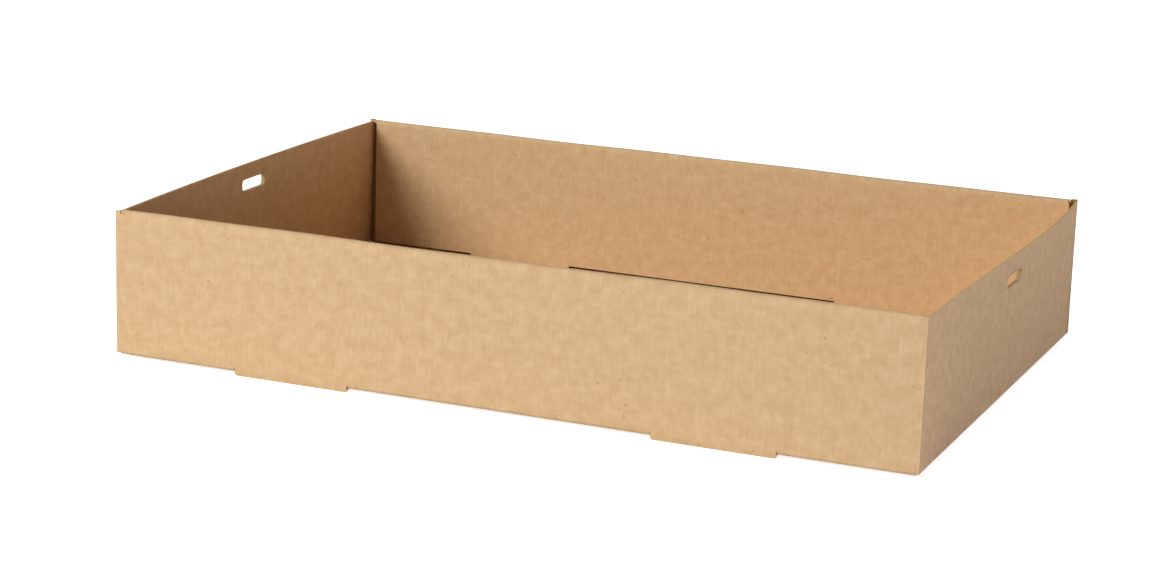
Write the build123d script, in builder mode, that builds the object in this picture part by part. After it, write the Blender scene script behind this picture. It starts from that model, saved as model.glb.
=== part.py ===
"""Cardboard tray box, folded from one die-cut sheet of kraft board. Millimetres.

X runs along the length, Y across the width and Z up. The origin is under the middle of the tray, in the
plane of the four lips' ends, which the tray stands on.
"""

import os

from build123d import *

# Driving dimensions of the tray
tray_length = 450.0  # outside the two end walls
tray_width = 300.0  # outside the two long walls
wall_height = 79.5  # underside of the base to the rim
board = 1.5  # thickness of the sheet
fold_radius = 0.5  # inside of every fold
layer_gap = 0.25  # outer panel to the flap behind it
flap_play = 1.25  # flap to the inner panel in front of it

# Long walls: an outer panel, rolled over the rim into an inner panel with two locking tabs
rim_setback = 3.2  # end of the outer panel to the end of the rolled rim
panel_setback = 5.0  # end of the outer panel to the end of the inner panel
rim_cut = 0.2  # between the end of the rolled rim and the lip beside it
panel_lift = 1.5  # floor to the inner panel's edge, between the tabs
tab_width = 66.5  # of a tab, and of the lip in front of it
tab_spacing = 237.5  # between the middles of one wall's two tabs
tab_reach = 1.3  # underside of the base to a tab's end
tab_corner = 1.0  # rounding of a tab's and a lip's two corners
slot_clearance = 0.5  # room round a tab in its slot, and beside a lip
lip_reach = 1.9  # underside of the base to the end of the lip in front of a tab
end_lip_rise = 1.0  # underside of the base to the outer panel's cut edge beyond the ends of their fold

# End walls: one layer, with a corner flap at each end that goes inside the rolled wall
end_wall_drop = 0.5  # rim to the end wall's top edge
lid_slot_length = 26.0
lid_slot_height = 6.8
lid_slot_drop = 9.0  # end wall's top edge to the slot
lid_slot_corner = 2.5
flap_length = 60.0
flap_chamfer = 8.0  # at the two corners of the flap's free end
flap_clearance = 0.5  # flap to the floor below it and to the rim above it

# Values that follow from the sizes above
quarter_turn = 90
outer_radius = fold_radius + board
roll_width = 3 * board + layer_gap + flap_play
half_length = tray_length / 2
half_width = tray_width / 2
base_low = lip_reach
floor_height = base_low + board
rim_height = base_low + wall_height
end_wall_top = rim_height - end_wall_drop
tab_low = base_low - tab_reach
end_lip_height = outer_radius - end_lip_rise
rim_half = half_length - rim_setback
panel_half = half_length - panel_setback
fold_half = half_length - outer_radius - layer_gap
flap_face = half_width - board - layer_gap
end_wall_half = flap_face - outer_radius
slot_depth = roll_width + slot_clearance
slot_half = tab_width / 2 + slot_clearance
tab_places = (-tab_spacing / 2, tab_spacing / 2)
sides = (-1, 1)


def fold_section(crease, start_angle):
    """Quarter ring of board round the origin of the crease's plane."""
    with BuildSketch(crease) as section:
        with BuildLine():
            outer = CenterArc((0, 0), outer_radius, start_angle, quarter_turn)
            inner = CenterArc((0, 0), fold_radius, start_angle, quarter_turn)
            Line(outer @ 0, inner @ 0)
            Line(outer @ 1, inner @ 1)
        make_face()
    return section.sketch


def long_crease(start, y, z):
    """Plane across a crease that runs along the tray from X = start, with Y to its right and Z up."""
    return Plane(origin=(start, y, z), x_dir=(0, 1, 0), z_dir=(1, 0, 0))


# Base panel, with four slots for the tabs, open to the long folds
with BuildPart() as base:
    with BuildSketch(Plane.XY.offset(base_low)):
        Rectangle(tray_length - 2 * outer_radius, tray_width - 2 * outer_radius)
        with GridLocations(tab_spacing, tray_width - slot_depth, 2, 2):
            Rectangle(2 * slot_half, slot_depth, mode=Mode.SUBTRACT)
    extrude(amount=board)

# Front long wall
outer_crease_y = outer_radius - half_width
inner_crease_y = roll_width - outer_radius - half_width
rim_crease_z = rim_height - outer_radius
base_crease_z = base_low + outer_radius
inner_panel_low = floor_height + panel_lift

with BuildPart() as long_wall:
    # Fold to the base, interrupted at the tab slots and short of the corners
    fold_ends = (-fold_half, *(place + side * slot_half for place in tab_places for side in sides), fold_half)
    for start, end in zip(fold_ends[0::2], fold_ends[1::2]):
        extrude(fold_section(long_crease(start, outer_crease_y, base_crease_z), 180), amount=end - start)

    # Outer panel, with a lip down past the base in front of each tab, and a cut lip beyond each fold's ends
    with BuildSketch(Plane.XZ.offset(half_width)) as outer_panel:
        with Locations((0, base_crease_z)):
            Rectangle(tray_length, rim_crease_z - base_crease_z, align=(Align.CENTER, Align.MIN))
        with Locations(*((place, base_crease_z) for place in tab_places)):
            Rectangle(tab_width, base_crease_z, align=(Align.CENTER, Align.MAX))
        for side, align_x in zip(sides, (Align.MIN, Align.MAX)):
            with Locations((side * half_length, base_crease_z)):
                Rectangle(half_length - fold_half - slot_clearance, end_lip_height, align=(align_x, Align.MAX))
            with Locations((side * half_length, rim_crease_z)):
                Rectangle(rim_setback - rim_cut, outer_radius, align=(align_x, Align.MIN))
        fillet(outer_panel.vertices().group_by(Axis.Y)[0], radius=tab_corner)
    extrude(amount=-board)

    # Rolled rim: a fold on each side of a narrow strip
    extrude(fold_section(long_crease(-rim_half, outer_crease_y, rim_crease_z), 90), amount=2 * rim_half)
    extrude(fold_section(long_crease(-panel_half, inner_crease_y, rim_crease_z), 0), amount=2 * panel_half)
    with BuildSketch(long_crease(-rim_half, outer_crease_y, rim_height)):
        Rectangle(inner_crease_y - outer_crease_y, board, align=(Align.MIN, Align.MAX))
    extrude(amount=2 * rim_half)

    # Inner panel, with the tabs that go down through the base
    with BuildSketch(Plane.XZ.offset(half_width - roll_width)) as inner_panel:
        with Locations((0, inner_panel_low)):
            Rectangle(2 * panel_half, rim_crease_z - inner_panel_low, align=(Align.CENTER, Align.MIN))
        with Locations(*((place, tab_low) for place in tab_places)):
            Rectangle(tab_width, inner_panel_low - tab_low, align=(Align.CENTER, Align.MIN))
        fillet(inner_panel.vertices().group_by(Axis.Y)[0], radius=tab_corner)
    extrude(amount=board)

# Right end wall, with its two corner flaps
flap_root = half_length - outer_radius
flap_tip = flap_root - flap_length
flap_low = floor_height + flap_clearance
flap_top = rim_height - board - flap_clearance

with BuildPart() as end_wall:
    # Fold to the base
    base_crease = Plane(origin=(flap_root, end_wall_half, base_crease_z), x_dir=(1, 0, 0), z_dir=(0, -1, 0))
    extrude(fold_section(base_crease, 270), amount=2 * end_wall_half)

    # Wall panel, with the slot that takes a lid's tongue
    with BuildSketch(Plane.YZ.offset(half_length)):
        with Locations((0, base_crease_z)):
            Rectangle(2 * end_wall_half, end_wall_top - base_crease_z, align=(Align.CENTER, Align.MIN))
        with Locations((0, end_wall_top - lid_slot_drop - lid_slot_height / 2)):
            RectangleRounded(lid_slot_length, lid_slot_height, lid_slot_corner, mode=Mode.SUBTRACT)
    extrude(amount=-board)

    # Upright corner folds and their flaps
    for side, start_angle in zip(sides, (270, 0)):
        corner_crease = Plane(origin=(flap_root, side * end_wall_half, flap_low))
        extrude(fold_section(corner_crease, start_angle), amount=end_wall_top - flap_low)
        with BuildSketch(Plane.XZ.offset(-side * flap_face)) as flap:
            with BuildLine():
                Polyline(
                    (flap_root, flap_low),
                    (flap_tip + flap_chamfer, flap_low),
                    (flap_tip, flap_low + flap_chamfer),
                    (flap_tip, flap_top - flap_chamfer),
                    (flap_tip + flap_chamfer, flap_top),
                    (flap_root, flap_top),
                    close=True,
                )
            make_face()
        extrude(amount=side * board)

# The whole sheet, folded
with BuildPart() as tray:
    add(base.part)
    add(long_wall.part)
    mirror(long_wall.part, about=Plane.XZ)
    add(end_wall.part)
    mirror(end_wall.part, about=Plane.YZ)

tray.part.label = "tray"
os.makedirs("parts", exist_ok=True)
export_step(tray.part, "parts/tray.step")
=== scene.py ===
"""Looks of the cardboard tray box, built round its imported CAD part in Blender 4.5.

The tray is one folded sheet of kraft board. Its middle surface is laid out panel by panel as on the flat
blank, each panel is folded up to its place, and the sheet then gets its thickness and its cut edges.
Sizes are in millimetres until the mesh is made, and the mesh is in metres.
"""

import cmath
import math
from collections import namedtuple

import bpy
import numpy as np
from mathutils import Matrix, Vector


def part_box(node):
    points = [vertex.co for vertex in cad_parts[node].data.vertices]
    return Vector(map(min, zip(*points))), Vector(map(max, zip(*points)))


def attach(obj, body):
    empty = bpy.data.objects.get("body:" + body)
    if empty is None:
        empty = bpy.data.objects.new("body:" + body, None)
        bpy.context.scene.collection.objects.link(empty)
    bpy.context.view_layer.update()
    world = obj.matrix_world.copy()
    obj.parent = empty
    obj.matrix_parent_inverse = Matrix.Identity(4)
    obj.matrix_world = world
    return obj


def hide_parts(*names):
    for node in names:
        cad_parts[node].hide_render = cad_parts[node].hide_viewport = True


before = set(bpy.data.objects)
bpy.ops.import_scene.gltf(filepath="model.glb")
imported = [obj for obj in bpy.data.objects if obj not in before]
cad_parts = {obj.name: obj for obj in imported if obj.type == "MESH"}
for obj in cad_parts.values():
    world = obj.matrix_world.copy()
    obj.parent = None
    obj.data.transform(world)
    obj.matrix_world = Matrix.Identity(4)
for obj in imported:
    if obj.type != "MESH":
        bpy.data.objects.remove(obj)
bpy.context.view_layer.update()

# Sizes of the tray in millimetres: the outside is the frame's, and the rest repeats the part's own sizes
MM = 0.001
box_low, box_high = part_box("tray")
tray_length = (box_high.x - box_low.x) / MM
tray_width = (box_high.y - box_low.y) / MM
rim_height = box_high.z / MM
board = 1.5
fold_radius = 0.5
layer_gap = 0.25
flap_play = 1.25
rim_setback = 3.2
panel_setback = 5.0
rim_cut = 0.2
panel_lift = 1.5
tab_width = 66.5
tab_spacing = 237.5
tab_reach = 1.3
tab_corner = 1.0
slot_clearance = 0.5
lip_reach = 1.9
end_lip_rise = 1.0
end_wall_drop = 0.5
lid_slot_length = 26.0
lid_slot_height = 6.8
lid_slot_drop = 9.0
lid_slot_corner = 2.5
flap_length = 60.0
flap_chamfer = 8.0
flap_clearance = 0.5

# How the board has settled, in millimetres out of flat
end_wall_bows = {-1: 3.5, 1: 3.2}  # outward, at the middle of the left and the right end wall's top edge
end_wall_leans = {-1: (-1.0, -1.9), 1: (-0.6, 0.6)}  # same walls: outward, at front and back top corner
end_wall_skew_shares = {-1: 0.0, 1: 1.2}  # same walls: how far the bow lies towards the back
end_wall_dips = {-1: 0.0, 1: 0.6}  # same walls: downward, at the ends of the top edge
bow_power = 1.15  # of the height, by which a bow grows from the base up
panel_end_shifts = {-1: 0.0, 1: 1.5}  # to the right, at both ends of the front and the back inner panel
shift_reach = 30.0  # length of a panel's end that is shifted
inner_panel_bulge = 0.5  # inward, at the middle of a long wall's inner panel
lip_tuck = 0.2  # inward, at the end of a lip below the base
flap_sink = 0.4  # downward, at a flap's lower edge, which rests on the base
base_sag = 0.6  # downward, at the middle of the base
rim_tilts = {-1: 0.5, 1: 0.0}  # upward at the right end of the front and the back rim, from their middle
rim_wave = 0.16  # up and down, along the rolled rim
wave_run = 37.0  # length of rim for each radian of its wave
ripple_run = 15.5  # length of rim for each radian of a ripple on that wave
ripple_share = 0.6  # of the ripple's height in the wave's

# Marks on the board and painted shade, in millimetres
slot_burr = 0.9  # outward, at the edges of the lid slots, where the punch has pressed them
burr_width = 2.0  # of the wall that is raised beside a slot
flap_shade_length = 9.0  # length of a flap's root that is darkened with painted shade, as the corner gaps show it

# Fineness of the mesh
panel_step = 5.0  # longest face on a panel, in millimetres
fold_faces = 6  # round a fold
corner_faces = 4  # round a small cut corner
sharp_angle = 40.0  # degrees between two faces, past which their edge is sharp
tolerance = 1e-6  # for places on a line that are worked out in two ways
blank_digits = 3  # decimals of a millimetre, by which points of the blank are told apart

# Values that follow from the sizes above
outer_radius = fold_radius + board
mid_radius = fold_radius + board / 2
fold_length = mid_radius * math.pi / 2
roll_width = 3 * board + layer_gap + flap_play
half_length = tray_length / 2
half_width = tray_width / 2
base_half_length = half_length - outer_radius
base_half_width = half_width - outer_radius
base_low = lip_reach
base_middle = base_low + board / 2
floor_height = base_low + board
base_crease = base_low + outer_radius
rim_crease = rim_height - outer_radius
end_wall_top = rim_height - end_wall_drop
inner_panel_low = floor_height + panel_lift
tab_low = base_low - tab_reach
end_lip_height = outer_radius - end_lip_rise
rim_half = half_length - rim_setback
panel_half = half_length - panel_setback
fold_half = half_length - outer_radius - layer_gap
end_lip_start = fold_half + slot_clearance
rim_lip_start = rim_half + rim_cut
end_wall_half = half_width - board - layer_gap - outer_radius
slot_depth = roll_width + slot_clearance
slot_half = tab_width / 2 + slot_clearance
flap_low = floor_height + flap_clearance
flap_top = rim_height - board - flap_clearance
flap_end = fold_length + flap_length
lid_slot_high = end_wall_top - lid_slot_drop
lid_slot_low = lid_slot_high - lid_slot_height
lid_slot_end = lid_slot_length / 2
tab_places = (-tab_spacing / 2, tab_spacing / 2)
corner_angles = [k / corner_faces * math.pi / 2 for k in range(corner_faces + 1)]
sides = (-1, 1)

# Distances along a long wall's section, from the edge of the base to the end of a tab
outer_panel_start = fold_length
outer_panel_end = outer_panel_start + rim_crease - base_crease
strip_start = outer_panel_end + fold_length
strip_end = strip_start + roll_width - 2 * outer_radius
inner_panel_start = strip_end + fold_length
inner_panel_end = inner_panel_start + rim_crease - inner_panel_low
tab_end = inner_panel_end + inner_panel_low - tab_low
long_wall_runs = (outer_panel_end - outer_panel_start, strip_end - strip_start, tab_end - inner_panel_start)


def spaced(*marks, step=panel_step):
    """The marks in order, with even steps added wherever two lie further apart than step."""
    marks = sorted(set(marks))
    places = [marks[0]]
    for low, high in zip(marks, marks[1:]):
        count = math.ceil((high - low) / step - tolerance)
        places += [low + (high - low) * k / count for k in range(1, count + 1)]
    return places


def within(lines, limit):
    """Those lines that lie no further than limit from the middle."""
    return [line for line in lines if abs(line) <= limit + tolerance]


def fold_places(start):
    """Even steps round the fold that starts at this distance along a section."""
    return [start + fold_length * k / fold_faces for k in range(fold_faces + 1)]


def walk(runs, distance):
    """Where a folded section is after this distance: how far out and up it has come. A quarter turn
    comes before each straight run."""
    place, heading = 0j, 1 + 0j
    for run in runs:
        centre = place + 1j * heading * mid_radius
        heading *= cmath.exp(1j * min(distance, fold_length) / mid_radius)
        place = centre - 1j * heading * mid_radius
        distance -= fold_length
        if distance <= 0:
            break
        place += heading * min(distance, run)
        distance -= run
        if distance <= 0:
            break
    return place.real, place.imag


def in_tab(x, half):
    """Whether x lies within this half width of a tab's middle."""
    return any(abs(x - place) < half for place in tab_places)


def arch(share):
    """1 in the middle of a span, where share is 0, and 0 at its ends, where it is -1 and 1."""
    return max(0.0, 1 - share * share)


def round_fold(distance, start):
    """Share of a crease's middle at this distance along a section whose fold starts at start."""
    return arch(2 * (distance - start) / fold_length - 1)


def anywhere(column, row):
    """Keeps all faces of a panel."""
    return True


class Sheet:
    """Middle surface of the board. Each point keeps its place on the flat blank, by which panels join."""

    def __init__(self):
        self.index = {}
        self.points = []
        self.blank = []
        self.score_and_shade = []
        self.burr_and_shade = []
        self.faces = []

    def vertex(self, point, blank, score_and_shade, burr_and_shade=0.0):
        """Number of the point at this place on the blank. The panel that comes first makes it."""
        key = (round(blank[0], blank_digits), round(blank[1], blank_digits))
        if key not in self.index:
            self.index[key] = len(self.points)
            self.points.append(point)
            self.blank.append(blank)
            self.score_and_shade.append(score_and_shade)
            self.burr_and_shade.append(burr_and_shade)
        return self.index[key]

    def face(self, corners):
        """A face through these corners, wound to face up on the blank. A corner is its point, its place on
        the blank, its share of scoring and painted shade and, at a slot, its share of the raised edge with
        painted shade."""
        flat = [corner[1] for corner in corners]
        turns = zip(flat, flat[1:] + flat[:1])
        area = sum(a[0] * b[1] - b[0] * a[1] for a, b in turns)
        ring = [self.vertex(*corner) for corner in corners]
        self.faces.append(ring if area > 0 else ring[::-1])

    def panel(self, columns, rows, place, keep=anywhere):
        """A grid of faces, with those left out whose middle isn't kept."""
        grid = [[place(column, row) for row in rows] for column in columns]
        for i in range(len(columns) - 1):
            for j in range(len(rows) - 1):
                if keep((columns[i] + columns[i + 1]) / 2, (rows[j] + rows[j + 1]) / 2):
                    self.face([grid[i][j], grid[i + 1][j], grid[i + 1][j + 1], grid[i][j + 1]])


# Lines that the panels share, so that their points meet: along the tray, across it and up its end walls
tab_halves = (tab_width / 2, slot_half)
lid_slot_marks = (lid_slot_end - lid_slot_corner, lid_slot_end, lid_slot_end + burr_width)
long_marks = [place + side * half for half in tab_halves for place in tab_places for side in sides]
cross_marks = []
for side in sides:
    long_marks += [side * x for x in (half_length, end_lip_start, rim_lip_start)]
    long_marks += [side * x for x in (base_half_length, fold_half, rim_half, panel_half)]
    cross_marks += [side * y for y in (base_half_width, end_wall_half, half_width - slot_depth)]
    cross_marks += [side * y for y in lid_slot_marks]
long_lines = spaced(*long_marks)
cross_lines = spaced(*cross_marks)
upright_lines = spaced(
    base_crease,
    lid_slot_low - burr_width,
    lid_slot_low,
    lid_slot_low + lid_slot_corner,
    lid_slot_high - lid_slot_corner,
    lid_slot_high,
    lid_slot_high + burr_width,
    flap_top,
    end_wall_top,
)


def add_base(sheet):
    """The base, with a slot for each tab."""

    def place(x, y):
        sag = base_sag * arch(x / base_half_length) * arch(y / base_half_width)
        return (x, y, base_middle - sag), (x, y), 0.0

    def keep(x, y):
        return not (in_tab(x, slot_half) and abs(y) > half_width - slot_depth)

    sheet.panel(within(long_lines, base_half_length), within(cross_lines, base_half_width), place, keep)


def add_long_wall(sheet, side):
    """One long wall: fold, outer panel, rolled rim, inner panel and tabs. side is -1 at the front."""
    flat_y = side * base_half_width

    def settled(x, y, z):
        rise = (z - base_crease) / (rim_crease - base_crease)
        bulge = 0.0 if abs(y) > half_width - board else inner_panel_bulge
        inward = bulge * arch(x / half_length) * arch(2 * rise - 1)
        wave = math.sin(x / wave_run + side) + ripple_share * math.sin(x / ripple_run - 2 * side)
        tilt = rim_tilts[side] * max(0.0, x) / half_length
        return x, y - side * inward, z + (rim_wave * wave + tilt) * max(0.0, rise)

    def place(x, distance, crease=None):
        """A point of the rolled wall. In a fold, crease is the distance at which the fold starts."""
        out, up = walk(long_wall_runs, distance)
        past_rim = max(0.0, min(1.0, (distance - strip_end) / fold_length))
        near_end = max(0.0, 1 - (panel_half - abs(x)) / shift_reach)
        shift = panel_end_shifts[side] * near_end * past_rim
        point = settled(x + shift, side * (base_half_width + out), base_middle + up)
        score_and_shade = 0.0 if crease is None else round_fold(distance, crease)
        return point, (x, flat_y + side * distance), score_and_shade

    def lip(x, rise, start, way, tuck=0.0, score_and_shade=0.0):
        """A point of a flat lip, at rise past the height start: down if way is -1, up if it is 1."""
        point = settled(x, side * (half_width - board / 2 - tuck), start + way * rise)
        panel_edge = outer_panel_start if way < 0 else outer_panel_end
        return point, (x, flat_y + side * (panel_edge + way * rise)), score_and_shade

    def rounded(x, to_end):
        """x, drawn in where a tab or a lip narrows to its rounded end."""
        rounding = max(0.0, tab_corner - max(0.0, to_end))
        half = tab_width / 2 - tab_corner + math.sqrt(tab_corner**2 - rounding**2)
        middle = tab_places[0] if x < 0 else tab_places[1]
        return middle + (x - middle) * half / (tab_width / 2)

    def tab(x, distance):
        return place(rounded(x, tab_end - distance), distance)

    def tab_lip(x, rise):
        tuck = lip_tuck * max(0.0, rise - outer_radius) / lip_reach
        # The lip is darkened from its crease down with some scoring and painted shade, as it tilts away
        # from the light
        score_and_shade = min(1.0, rise / outer_radius)
        return lip(rounded(x, base_crease - rise), rise, base_crease, -1, tuck, score_and_shade)

    def end_lip(x, rise):
        return lip(x, rise, base_crease, -1)

    def rim_lip(x, rise):
        # The lip's inside gets full painted shade, which darkens the nubs at the rim's ends
        return lip(x, rise, rim_crease, 1, score_and_shade=1.0)

    def on_tab(x, distance):
        return in_tab(x, tab_width / 2)

    def off_slots(x, distance):
        return not in_tab(x, slot_half)

    def on_end_lip(x, rise):
        return abs(x) > end_lip_start

    def on_rim_lip(x, rise):
        return abs(x) > rim_lip_start

    def add_fold(lines, start, keep=anywhere):
        def fold(x, distance):
            return place(x, distance, start)

        sheet.panel(lines, fold_places(start), fold, keep)

    rim_lines = within(long_lines, rim_half)
    panel_lines = within(long_lines, panel_half)
    tip = [tab_corner * (1 - math.sin(angle)) for angle in corner_angles]
    add_fold(within(long_lines, fold_half), 0.0, off_slots)
    sheet.panel(long_lines, spaced(outer_panel_start, outer_panel_end), place)
    add_fold(rim_lines, outer_panel_end)
    sheet.panel(rim_lines, [strip_start, strip_end], place)
    add_fold(panel_lines, strip_end)
    sheet.panel(panel_lines, spaced(inner_panel_start, inner_panel_end), place)
    sheet.panel(long_lines, [inner_panel_end, *(tab_end - height for height in tip)], tab, on_tab)
    sheet.panel(long_lines, [0.0, outer_radius, *(base_crease - height for height in tip)], tab_lip, on_tab)
    sheet.panel(long_lines, [0.0, end_lip_height], end_lip, on_end_lip)
    sheet.panel(long_lines, [0.0, outer_radius], rim_lip, on_rim_lip)


def add_end_wall(sheet, end):
    """One end wall: fold, panel with its lid slot, and two corner flaps. end is -1 at the left."""
    wall_lines = within(cross_lines, end_wall_half)
    flap_lines = [z for z in upright_lines if z <= flap_top + tolerance]

    def settled(x, y, z):
        rise = max(0.0, z - base_crease) / (end_wall_top - base_crease)
        across = max(-1.0, min(1.0, y / end_wall_half))
        skew = 1 + end_wall_skew_shares[end] * across
        bow = end_wall_bows[end] * arch(across) * skew * rise**bow_power
        front_lean, back_lean = end_wall_leans[end]
        lean = (front_lean * (1 - across) + back_lean * (1 + across)) / 2
        return x + end * (bow + lean * rise), y, z - end_wall_dips[end] * across**2 * rise

    def blank_x(z):
        return end * (base_half_length + fold_length + z - base_crease)

    def fold(y, distance):
        out, up = walk((0.0,), distance)
        point = (end * (base_half_length + out), y, base_middle + up)
        return point, (end * (base_half_length + distance), y), round_fold(distance, 0.0)

    def wall(y, z):
        point = settled(end * (half_length - board / 2), y, z)
        beside = abs(y) < lid_slot_end + burr_width / 2
        level = lid_slot_low - burr_width / 2 < z < lid_slot_high + burr_width / 2
        # Beside the lid slot the wall is raised outward, and its cut faces there get painted shade
        return point, (blank_x(z), y), 0.0, 1.0 if beside and level else 0.0

    def off_slot(y, z):
        return abs(y) > lid_slot_end or not lid_slot_low < z < lid_slot_high

    def add_slot_corner(side, corner_z, way):
        """What the lid slot's rounding leaves in a square corner. way is -1 at its lower edge."""
        corner_y = side * lid_slot_end
        arc = []
        for angle in corner_angles:
            y = corner_y - side * lid_slot_corner * (1 - math.sin(angle))
            z = corner_z - way * lid_slot_corner * (1 - math.cos(angle))
            arc.append(wall(y, z))
        for near, far in zip(arc, arc[1:]):
            sheet.face([wall(corner_y, corner_z), near, far])

    def add_flap(side):
        """One corner fold and its flap. side is -1 at the front."""

        def flap(distance, z):
            out, back = walk((flap_length,), distance)
            chamfer = max(0.0, distance - flap_end + flap_chamfer)
            share = (z - flap_low) / (flap_top - flap_low)
            z += chamfer * (1 - 2 * share)
            turned = min(1.0, distance / fold_length)
            sink = flap_sink * turned if z <= base_crease else 0.0
            point = settled(end * (half_length - board / 2 - back), side * (end_wall_half + out), z - sink)
            # Painted shade on the flap's root, fading along the flap, for the shade in the corner gap
            root_shade = turned * max(0.0, 1 - max(0.0, distance - fold_length) / flap_shade_length)
            return point, (blank_x(z), side * (end_wall_half + distance)), root_shade

        sheet.panel(fold_places(0.0), upright_lines, flap)
        sheet.panel(spaced(fold_length, flap_end - flap_chamfer, flap_end), flap_lines, flap)

    sheet.panel(wall_lines, fold_places(0.0), fold)
    sheet.panel(wall_lines, upright_lines, wall, off_slot)
    for side in sides:
        add_slot_corner(side, lid_slot_low, -1)
        add_slot_corner(side, lid_slot_high, 1)
    for side in sides:
        add_flap(side)


def point_normals(points, faces):
    """Normal of the sheet at each point: those of the faces round it, by their angles there."""
    normals = np.zeros_like(points)
    for ring in faces:
        corners = points[ring]
        if len(ring) == 3:
            across = np.cross(corners[1] - corners[0], corners[2] - corners[0])
        else:
            across = np.cross(corners[2] - corners[0], corners[3] - corners[1])
        across /= np.linalg.norm(across)
        for k, vertex in enumerate(ring):
            before = corners[k - 1] - corners[k]
            after = corners[(k + 1) % len(ring)] - corners[k]
            cosine = before @ after / np.linalg.norm(before) / np.linalg.norm(after)
            normals[vertex] += across * math.acos(max(-1.0, min(1.0, cosine)))
    return normals / np.linalg.norm(normals, axis=1)[:, None]


def thick_mesh(sheet, name):
    """The sheet with its thickness: an inside liner, an outside liner and the cut edges between them."""
    points = np.array(sheet.points)
    count = len(points)
    normals = point_normals(points, sheet.faces)
    burr_and_shade = np.array(sheet.burr_and_shade)
    outside = points - normals * (board / 2 + slot_burr * burr_and_shade[:, None])
    both = np.vstack([points + normals * board / 2, outside]) * MM
    faces = [list(ring) for ring in sheet.faces]
    faces += [[vertex + count for vertex in reversed(ring)] for ring in sheet.faces]
    liners = len(faces)
    edges = [(a, b) for ring in sheet.faces for a, b in zip(ring, ring[1:] + ring[:1])]
    known = set(edges)
    faces += [[a, a + count, b + count, b] for a, b in edges if (b, a) not in known]

    mesh = bpy.data.meshes.new(name)
    mesh.from_pydata(both.tolist(), [], faces)
    mesh.polygons.foreach_set("material_index", [0] * liners + [1] * (len(faces) - liners))
    mesh.polygons.foreach_set("use_smooth", [True] * len(faces))
    mesh.set_sharp_from_angle(angle=math.radians(sharp_angle))

    # Place on the blank in metres. The third number is 1 on the inside liner and 0 on the outside one.
    blank = np.zeros((2 * count, 3), np.float32)
    blank[:, :2] = np.tile(np.array(sheet.blank) * MM, (2, 1))
    blank[:count, 2] = 1
    mesh.attributes.new("blank", "FLOAT_VECTOR", "POINT").data.foreach_set("vector", blank.ravel())
    # Marks that darken the colour: scoring with painted shade, and the lid slots' raised edge with painted
    # shade on its cut faces
    for mark, values in (("score_and_shade", sheet.score_and_shade), ("burr_and_shade", sheet.burr_and_shade)):
        on_both = np.tile(np.array(values, np.float32), 2)
        mesh.attributes.new(mark, "FLOAT", "POINT").data.foreach_set("value", on_both)
    mesh.validate()
    return mesh


class Nodes:
    """Small helper that adds nodes to a tree and links them."""

    def __init__(self, tree):
        self.tree = tree
        self.tree.nodes.clear()

    def add(self, kind, inputs=None, **settings):
        """A node of this kind. An input is a socket that is linked to it, or a value."""
        node = self.tree.nodes.new(kind)
        for name, value in settings.items():
            setattr(node, name, value)
        for name, value in (inputs or {}).items():
            socket = node.inputs[name]
            if isinstance(value, bpy.types.NodeSocket):
                self.tree.links.new(value, socket)
            else:
                socket.default_value = value
        return node

    def math(self, operation, *values):
        return self.add("ShaderNodeMath", dict(enumerate(values)), operation=operation).outputs[0]

    def attribute(self, name):
        return self.add("ShaderNodeAttribute", attribute_name=name)

    def split(self, vector):
        return self.add("ShaderNodeSeparateXYZ", {0: vector}).outputs

    def noise(self, vector, scale, detail=2.0, roughness=0.5):
        inputs = {"Vector": vector, "Scale": scale, "Detail": detail, "Roughness": roughness}
        return self.add("ShaderNodeTexNoise", inputs).outputs["Fac"]

    def remap(self, value, levels, results):
        """What goes from the first to the second result as the value goes between the two levels."""
        names = ("From Min", "From Max", "To Min", "To Max")
        inputs = {"Value": value, **dict(zip(names, (*levels, *results)))}
        return self.add("ShaderNodeMapRange", inputs).outputs["Result"]

    def toned(self, tone, value, levels, tones):
        """The tone, multiplied by the one that the value gives."""
        return self.math("MULTIPLY", tone, self.remap(value, levels, tones))

    def stretched(self, vector, scale):
        inputs = {"Vector": vector, "Scale": scale}
        return self.add("ShaderNodeMapping", inputs).outputs["Vector"]

    def browned(self, tone, green_power, blue_power):
        """A tone as a factor for each colour, with which what is darker is also browner."""
        green = self.math("POWER", tone, green_power)
        blue = self.math("POWER", tone, blue_power)
        return self.add("ShaderNodeCombineXYZ", {"X": tone, "Y": green, "Z": blue}).outputs["Vector"]

    def mixed(self, factor, first, second):
        """The first colour where factor is 0, and the second where it is 1."""
        inputs = {"Factor": factor, "A": first, "B": second}
        return self.add("ShaderNodeMix", inputs, data_type="RGBA").outputs["Result"]

    def bump(self, strength, depth, height):
        inputs = {"Strength": strength, "Distance": depth * MM, "Height": height}
        return self.add("ShaderNodeBump", inputs).outputs["Normal"]


def new_material(name):
    """A material with no nodes yet, and the helper that adds them."""
    material = bpy.data.materials.new(name)
    material.use_nodes = True
    return material, Nodes(material.node_tree)


def linear(red, green, blue):
    """A colour given in 0 to 255 on the sRGB curve, as linear light."""

    def one(value):
        value /= 255
        return value / 12.92 if value <= 0.04045 else ((value + 0.055) / 1.055) ** 2.4

    return one(red), one(green), one(blue), 1.0


# Looks of the board. Tones are factors of a colour, and depths are in millimetres.
outside_colour = linear(217, 182, 139)
inside_colour = linear(219, 181, 136)
core_colour = linear(212, 176, 132)
board_gloss = 0.06  # specular level of the liners and the cut edges
whole_range = (0.0, 1.0)
sine_range = (-1.0, 1.0)
noise_range = (0.3, 0.7)  # most of what a noise gives

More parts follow.
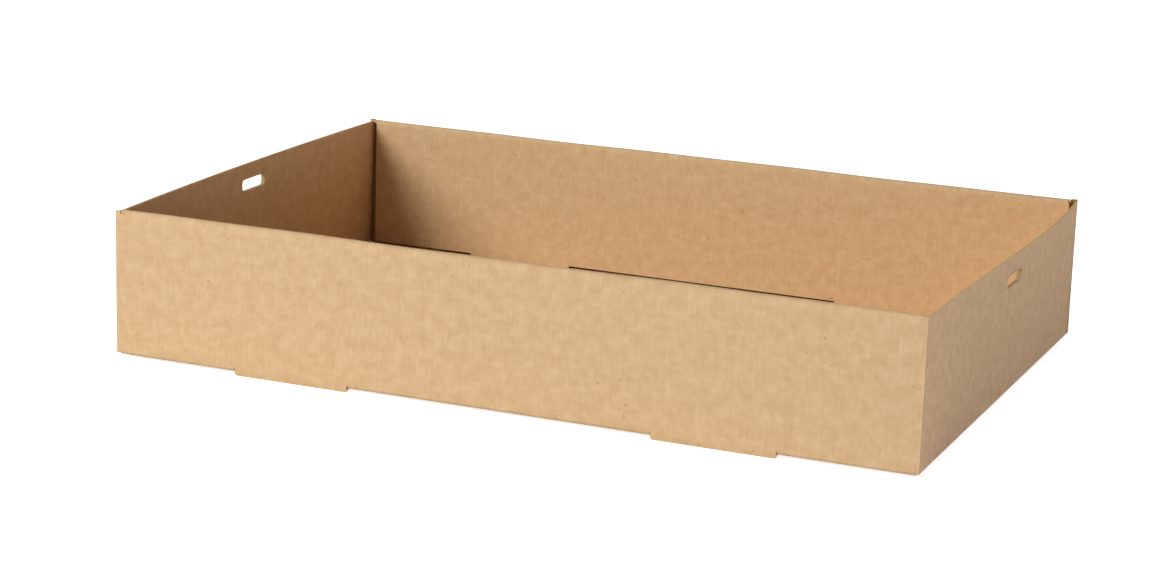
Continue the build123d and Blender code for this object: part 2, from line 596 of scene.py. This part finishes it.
# Grains of the liner: a noise with about this many cells to a metre, which a smaller stretch makes longer
# along X or Y of the blank, and the tones that it gives between two of its levels
Grain = namedtuple("Grain", "scale stretch detail roughness levels tones")
liner_grains = {
    "cloud": Grain(130.0, (1.0, 1.0, 1.0), 0.0, 0.5, noise_range, (0.973, 1.027)),
    "along": Grain(350.0, (0.5, 1.0, 1.0), 0.0, 0.5, noise_range, (0.98, 1.02)),
    "across": Grain(350.0, (1.0, 0.5, 1.0), 0.0, 0.5, noise_range, (0.98, 1.02)),
    "fibre": Grain(1500.0, (0.3, 1.0, 1.0), 2.0, 0.6, (0.25, 0.75), (0.98, 1.02)),
    "strand": Grain(1100.0, (1.0, 0.16, 1.0), 1.0, 0.5, (0.62, 0.8), (1.0, 1.1)),
    "speck": Grain(330.0, (1.0, 1.0, 1.0), 0.0, 0.5, (0.8, 0.88), (1.0, 0.82)),
}
flute_pitch = 3.2  # millimetres between the faint ridges that show through the liner
ridge_tones = (0.994, 1.006)
score_and_shade_shares = (0.05, 0.6)  # of the colour, lost at creases, flap roots and lips to scoring and painted shade, outside and inside
grain_powers = (1.6, 2.0)  # of green and blue, in the grain
crease_powers = (1.2, 1.5)  # of green and blue, in the painted shade at creases, flap roots and lips
fibre_height_share = 0.5  # of the liner's depth, and so are the next two
across_height_share = 0.4
ridge_height_share = 0.25
liner_depth = 0.06
liner_bump = 0.35
liner_roughness = (0.82, 0.92)

# Cut edges. Shares are of the board's thickness.
ragged_scale = 900.0
ragged_roughness = 0.6
ragged_tones = (0.88, 1.1)
streak_scale = 260.0
streak_tones = (0.94, 1.06)
middle_share = 0.5
core_end_shares = (0.3, 0.36)  # from the middle of the board to where its core gives way to a liner
stray_shares = (-0.05, 0.05)  # by which the core's end is ragged
slot_shade_tones = (1.0, 0.68)  # of a cut edge elsewhere, and with painted shade inside the lid slots
edge_depth = 0.1
edge_bump = 0.5
edge_roughness = 0.95


def add_board_shader(nodes, colour, roughness, normal):
    """The dull surface that the liners and the cut edges share."""
    inputs = {"Base Color": colour, "Roughness": roughness, "Normal": normal}
    shader = nodes.add("ShaderNodeBsdfPrincipled", {**inputs, "Specular IOR Level": board_gloss})
    nodes.add("ShaderNodeOutputMaterial", {"Surface": shader.outputs["BSDF"]})


def kraft_liner():
    """Unbleached kraft liner: cloudy tone, grain and fibres both ways, specks, faint flute ridges,
    and painted shade with some scoring at creases, flap roots and lips.
    """
    material, nodes = new_material("kraft_liner")
    blank = nodes.attribute("blank").outputs["Vector"]
    score_and_shade = nodes.attribute("score_and_shade").outputs["Fac"]
    parts = nodes.split(blank)
    inside = parts["Z"]

    tone = 1.0
    noises = {}
    for name, grain in liner_grains.items():
        cells = nodes.stretched(blank, grain.stretch)
        noises[name] = nodes.noise(cells, grain.scale, grain.detail, grain.roughness)
        tone = nodes.toned(tone, noises[name], grain.levels, grain.tones)
    ridge = nodes.math("SINE", nodes.math("MULTIPLY", parts["X"], 2 * math.pi / (flute_pitch * MM)))
    tone = nodes.toned(tone, ridge, sine_range, ridge_tones)
    # Painted shade at creases, flap roots and lips, deepest on the inside liner, with a little darkening
    # from scoring
    dark = nodes.math("MULTIPLY", score_and_shade, nodes.remap(inside, whole_range, score_and_shade_shares))
    shade = nodes.math("SUBTRACT", 1.0, dark)

    colour = nodes.mixed(inside, outside_colour, inside_colour)
    for tint in (nodes.browned(tone, *grain_powers), nodes.browned(shade, *crease_powers)):
        toned = nodes.add("ShaderNodeVectorMath", {0: colour, 1: tint}, operation="MULTIPLY")
        colour = toned.outputs["Vector"]

    height = nodes.math("MULTIPLY", noises["fibre"], fibre_height_share)
    height = nodes.math("ADD", height, nodes.math("MULTIPLY", noises["across"], across_height_share))
    height = nodes.math("ADD", height, nodes.math("MULTIPLY", ridge, ridge_height_share))
    roughness = nodes.remap(noises["along"], noise_range, liner_roughness)
    add_board_shader(nodes, colour, roughness, nodes.bump(liner_bump, liner_depth, height))
    return material


def cut_edge():
    """Die-cut edge of the board: two pale liners with a darker, ragged core between them, and painted shade
    inside the lid slots.
    """
    material, nodes = new_material("cut_edge")
    through = nodes.split(nodes.attribute("blank").outputs["Vector"])["Z"]
    burr_and_shade = nodes.attribute("burr_and_shade").outputs["Fac"]
    place = nodes.add("ShaderNodeTexCoord").outputs["Object"]
    ragged = nodes.noise(place, ragged_scale, roughness=ragged_roughness)
    streak = nodes.noise(place, streak_scale)

    from_middle = nodes.math("ABSOLUTE", nodes.math("SUBTRACT", through, middle_share))
    border = nodes.math("ADD", from_middle, nodes.remap(ragged, noise_range, stray_shares))
    is_liner = nodes.remap(border, core_end_shares, whole_range)
    colour = nodes.mixed(is_liner, core_colour, outside_colour)
    tone = nodes.remap(ragged, noise_range, ragged_tones)
    tone = nodes.toned(tone, streak, noise_range, streak_tones)
    # Painted shade on the cut faces inside the lid slots
    tone = nodes.toned(tone, burr_and_shade, whole_range, slot_shade_tones)
    toned = nodes.add("ShaderNodeVectorMath", {0: colour, "Scale": tone}, operation="SCALE")
    normal = nodes.bump(edge_bump, edge_depth, ragged)
    add_board_shader(nodes, toned.outputs["Vector"], edge_roughness, normal)
    return material


def add_tray():
    """The folded sheet, in place of the CAD part's plain solid."""
    sheet = Sheet()
    add_base(sheet)
    for side in sides:
        add_long_wall(sheet, side)
        add_end_wall(sheet, side)
    mesh = thick_mesh(sheet, "folded_tray")
    mesh.materials.append(kraft_liner())
    mesh.materials.append(cut_edge())
    tray = bpy.data.objects.new("folded_tray", mesh)
    bpy.context.scene.collection.objects.link(tray)
    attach(tray, "root")
    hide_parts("tray")


# Light and stage, in metres. Light levels are such that 1 shows a colour about as written.
white = (1.0, 1.0, 1.0, 1.0)
floor_half = 12.0
floor_gap = 0.0002  # below the lips' ends
floor_colour = (0.9, 0.9, 0.9, 1.0)
floor_glow = 0.84  # added where the camera sees the floor, so that it is white but for a light shadow
sky_levels = (0.3, 0.09)  # on the key's side and on the shaded side
sky_colour = (1.0, 0.975, 0.91, 1.0)
key_direction = Vector((-0.5, -0.52, 0.543))
key_distance = 3.4
key_size = 1.83
key_level = 0.875
key_colour = (1.0, 1.02, 1.025)
fill_distance = 1.0  # from the right end wall
fill_forward = 0.2  # towards the front, from the tray's middle
fill_length = 2.0
fill_height = 0.19
fill_level = 3.86
fill_colour = (1.0, 1.04, 1.32)


def seen_directly(nodes):
    """1 for what the camera, a reflection or glass shows, and 0 for light that falls on the tray."""
    path = nodes.add("ShaderNodeLightPath").outputs
    either = nodes.math("MAXIMUM", path["Is Camera Ray"], path["Is Glossy Ray"])
    return nodes.math("MAXIMUM", either, path["Is Transmission Ray"])


def add_stage():
    """A white floor that keeps the tray's shadow."""
    mesh = bpy.data.meshes.new("floor")
    turns = ((-1, -1), (1, -1), (1, 1), (-1, 1))
    corners = [(x * floor_half, y * floor_half, -floor_gap) for x, y in turns]
    mesh.from_pydata(corners, [], [(0, 1, 2, 3)])
    floor = bpy.data.objects.new("floor", mesh)
    bpy.context.scene.collection.objects.link(floor)

    material, nodes = new_material("floor")
    paper = nodes.add("ShaderNodeBsdfDiffuse", {"Color": floor_colour})
    glow = nodes.remap(seen_directly(nodes), whole_range, (0.0, floor_glow))
    shown = nodes.add("ShaderNodeEmission", {"Strength": glow})
    both = nodes.add("ShaderNodeAddShader", {0: paper.outputs["BSDF"], 1: shown.outputs["Emission"]})
    nodes.add("ShaderNodeOutputMaterial", {"Surface": both.outputs["Shader"]})
    mesh.materials.append(material)


def add_sky():
    """White where it is seen, and a soft fall from left to right where it lights the tray."""
    world = bpy.data.worlds.new("studio")
    world.use_nodes = True
    nodes = Nodes(world.node_tree)
    direction = nodes.add("ShaderNodeTexCoord").outputs["Generated"]
    level = nodes.remap(nodes.split(direction)["X"], sine_range, sky_levels)
    seen = seen_directly(nodes)
    strength = nodes.add("ShaderNodeMix", {"Factor": seen, "A": level, "B": 1.0}, data_type="FLOAT")
    inputs = {"Color": nodes.mixed(seen, sky_colour, white), "Strength": strength.outputs["Result"]}
    background = nodes.add("ShaderNodeBackground", inputs)
    nodes.add("ShaderNodeOutputWorld", {"Surface": background.outputs["Background"]})
    bpy.context.scene.world = world


def add_lamp(name, lamp, place, towards):
    """An unseen area lamp at this place that shines along -towards."""
    lamp_object = bpy.data.objects.new(name, lamp)
    lamp_object.location = place
    lamp_object.rotation_euler = towards.to_track_quat("Z", "X").to_euler()
    lamp_object.visible_camera = False
    bpy.context.scene.collection.objects.link(lamp_object)


def add_light():
    """A sky, a large soft key lamp from the front left, and a fill lamp from the right."""
    add_sky()
    key = bpy.data.lights.new("key", "AREA")
    key.shape = "DISK"
    key.size = key_size
    key.energy = key_level * math.pi**2 * key_distance**2
    key.color = key_colour
    towards = key_direction.normalized()
    add_lamp("key", key, towards * key_distance, towards)

    # A long low strip to the right, which lights the right end wall and reaches over it to the left one
    fill = bpy.data.lights.new("fill", "AREA")
    fill.shape = "RECTANGLE"
    fill.size = fill_height
    fill.size_y = fill_length
    fill.energy = fill_level * math.pi * fill_length * fill_height
    fill.color = fill_colour
    place = Vector((half_length * MM + fill_distance, -fill_forward, fill_height / 2))
    add_lamp("fill", fill, place, Vector((1, 0, 0)))


# Camera, from the photograph: millimetres and degrees
camera_place = Vector((580.0, -1434.8, 427.65))
camera_azimuth = 22.506
camera_elevation = 14.346
camera_roll = 1.842
camera_lens = 88.446
camera_sensor = 36.0
level_tilt = 90.0  # of a camera that looks straight ahead


def add_camera():
    """The photograph's camera, as it was fitted."""
    data = bpy.data.cameras.new("camera")
    data.lens = camera_lens
    data.sensor_width = camera_sensor
    data.sensor_fit = "HORIZONTAL"
    camera = bpy.data.objects.new("camera", data)
    turn = Matrix.Rotation(math.radians(camera_azimuth), 4, "Z")
    tilt = Matrix.Rotation(math.radians(level_tilt - camera_elevation), 4, "X")
    roll = Matrix.Rotation(math.radians(camera_roll), 4, "Z")
    camera.matrix_world = Matrix.Translation(camera_place * MM) @ turn @ tilt @ roll
    bpy.context.scene.collection.objects.link(camera)
    bpy.context.scene.camera = camera


add_tray()
add_stage()
add_light()
add_camera()
bpy.context.scene.view_settings.view_transform = "Standard"
